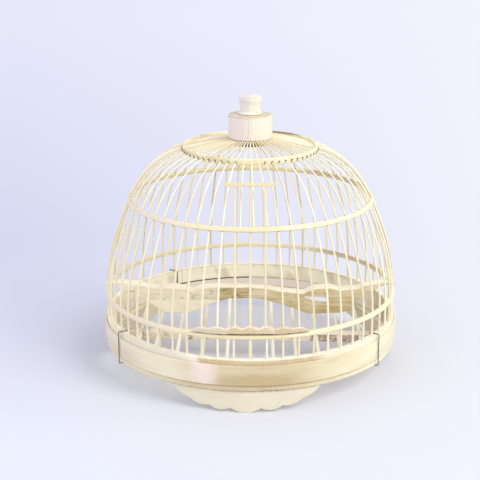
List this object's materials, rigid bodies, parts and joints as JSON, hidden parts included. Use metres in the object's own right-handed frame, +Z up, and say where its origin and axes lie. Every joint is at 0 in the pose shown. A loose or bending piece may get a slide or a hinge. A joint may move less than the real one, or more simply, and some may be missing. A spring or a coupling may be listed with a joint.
{
  "type": "bamboo bird cage",
  "caption": "Round domed bamboo bird cage on three scalloped feet, with a turned crown knob, a driftwood perch, a rod floor and a front door of bars that slides up.",
  "frame": {"origin": "centre of the cage on the plane that its three feet stand on", "axes": "+Z up along the cage's axis; -Y towards the door; +X to the right of someone facing the door"},
  "size_m": [0.3464, 0.3464, 0.3154],
  "materials": {
    "bamboo": "smooth planed bamboo, satin",
    "band_bamboo": "bent bamboo skin, polished",
    "aged_bamboo": "weathered bamboo, matt with brown stains",
    "turned_wood": "turned wood, fine cracks, satin",
    "driftwood": "worn brown branch wood, matt",
    "steel_wire": "thin tie wire"
  },
  "bodies": {
    "cage": {"bar_panel_01": "bamboo", "bar_panel_02": "bamboo", "bar_panel_03": "bamboo", "bar_panel_04": "bamboo", "bar_panel_05": "bamboo", "bar_panel_06": "bamboo", "bar_panel_07": "bamboo", "bar_panel_08": "bamboo", "bar_panel_09": "bamboo", "bar_panel_10": "bamboo", "base_band": "band_bamboo", "crown_hub": "turned_wood", "crown_knob": "turned_wood", "crown_ring": "bamboo", "floor_crossbar": "aged_bamboo", "floor_rod_01": "bamboo", "floor_rod_02": "bamboo", "floor_rod_03": "bamboo", "floor_rod_04": "bamboo", "floor_rod_05": "bamboo", "floor_rod_06": "bamboo", "floor_rod_07": "bamboo", "floor_rod_08": "bamboo", "floor_rod_09": "bamboo", "floor_rod_10": "bamboo", "floor_rod_11": "bamboo", "foot_board_front": "bamboo", "foot_board_rear_left": "bamboo", "foot_board_rear_right": "bamboo", "hub_clamp_disc": "turned_wood", "lower_hoop": "bamboo", "lower_rim": "bamboo", "perch": "driftwood", "sill_board_left": "aged_bamboo", "sill_board_right": "aged_bamboo", "upper_hoop": "bamboo", "upper_short_bar_1": "bamboo", "upper_short_bar_2": "bamboo", "upper_short_bar_3": "bamboo", "wire_tie_1": "steel_wire", "wire_tie_2": "steel_wire", "wire_tie_3": "steel_wire"},
    "door": {"door_bar_1": "bamboo", "door_bar_2": "bamboo", "door_bar_3": "bamboo", "door_bottom_rail": "aged_bamboo", "door_top_rail": "bamboo"}
  },
  "joints": [
    {"name": "door_slide", "type": "slide", "parent": "cage", "child": "door", "axis": [0, 0.2511, 0.9679], "range_m": [0, 0.098]}
  ]
}
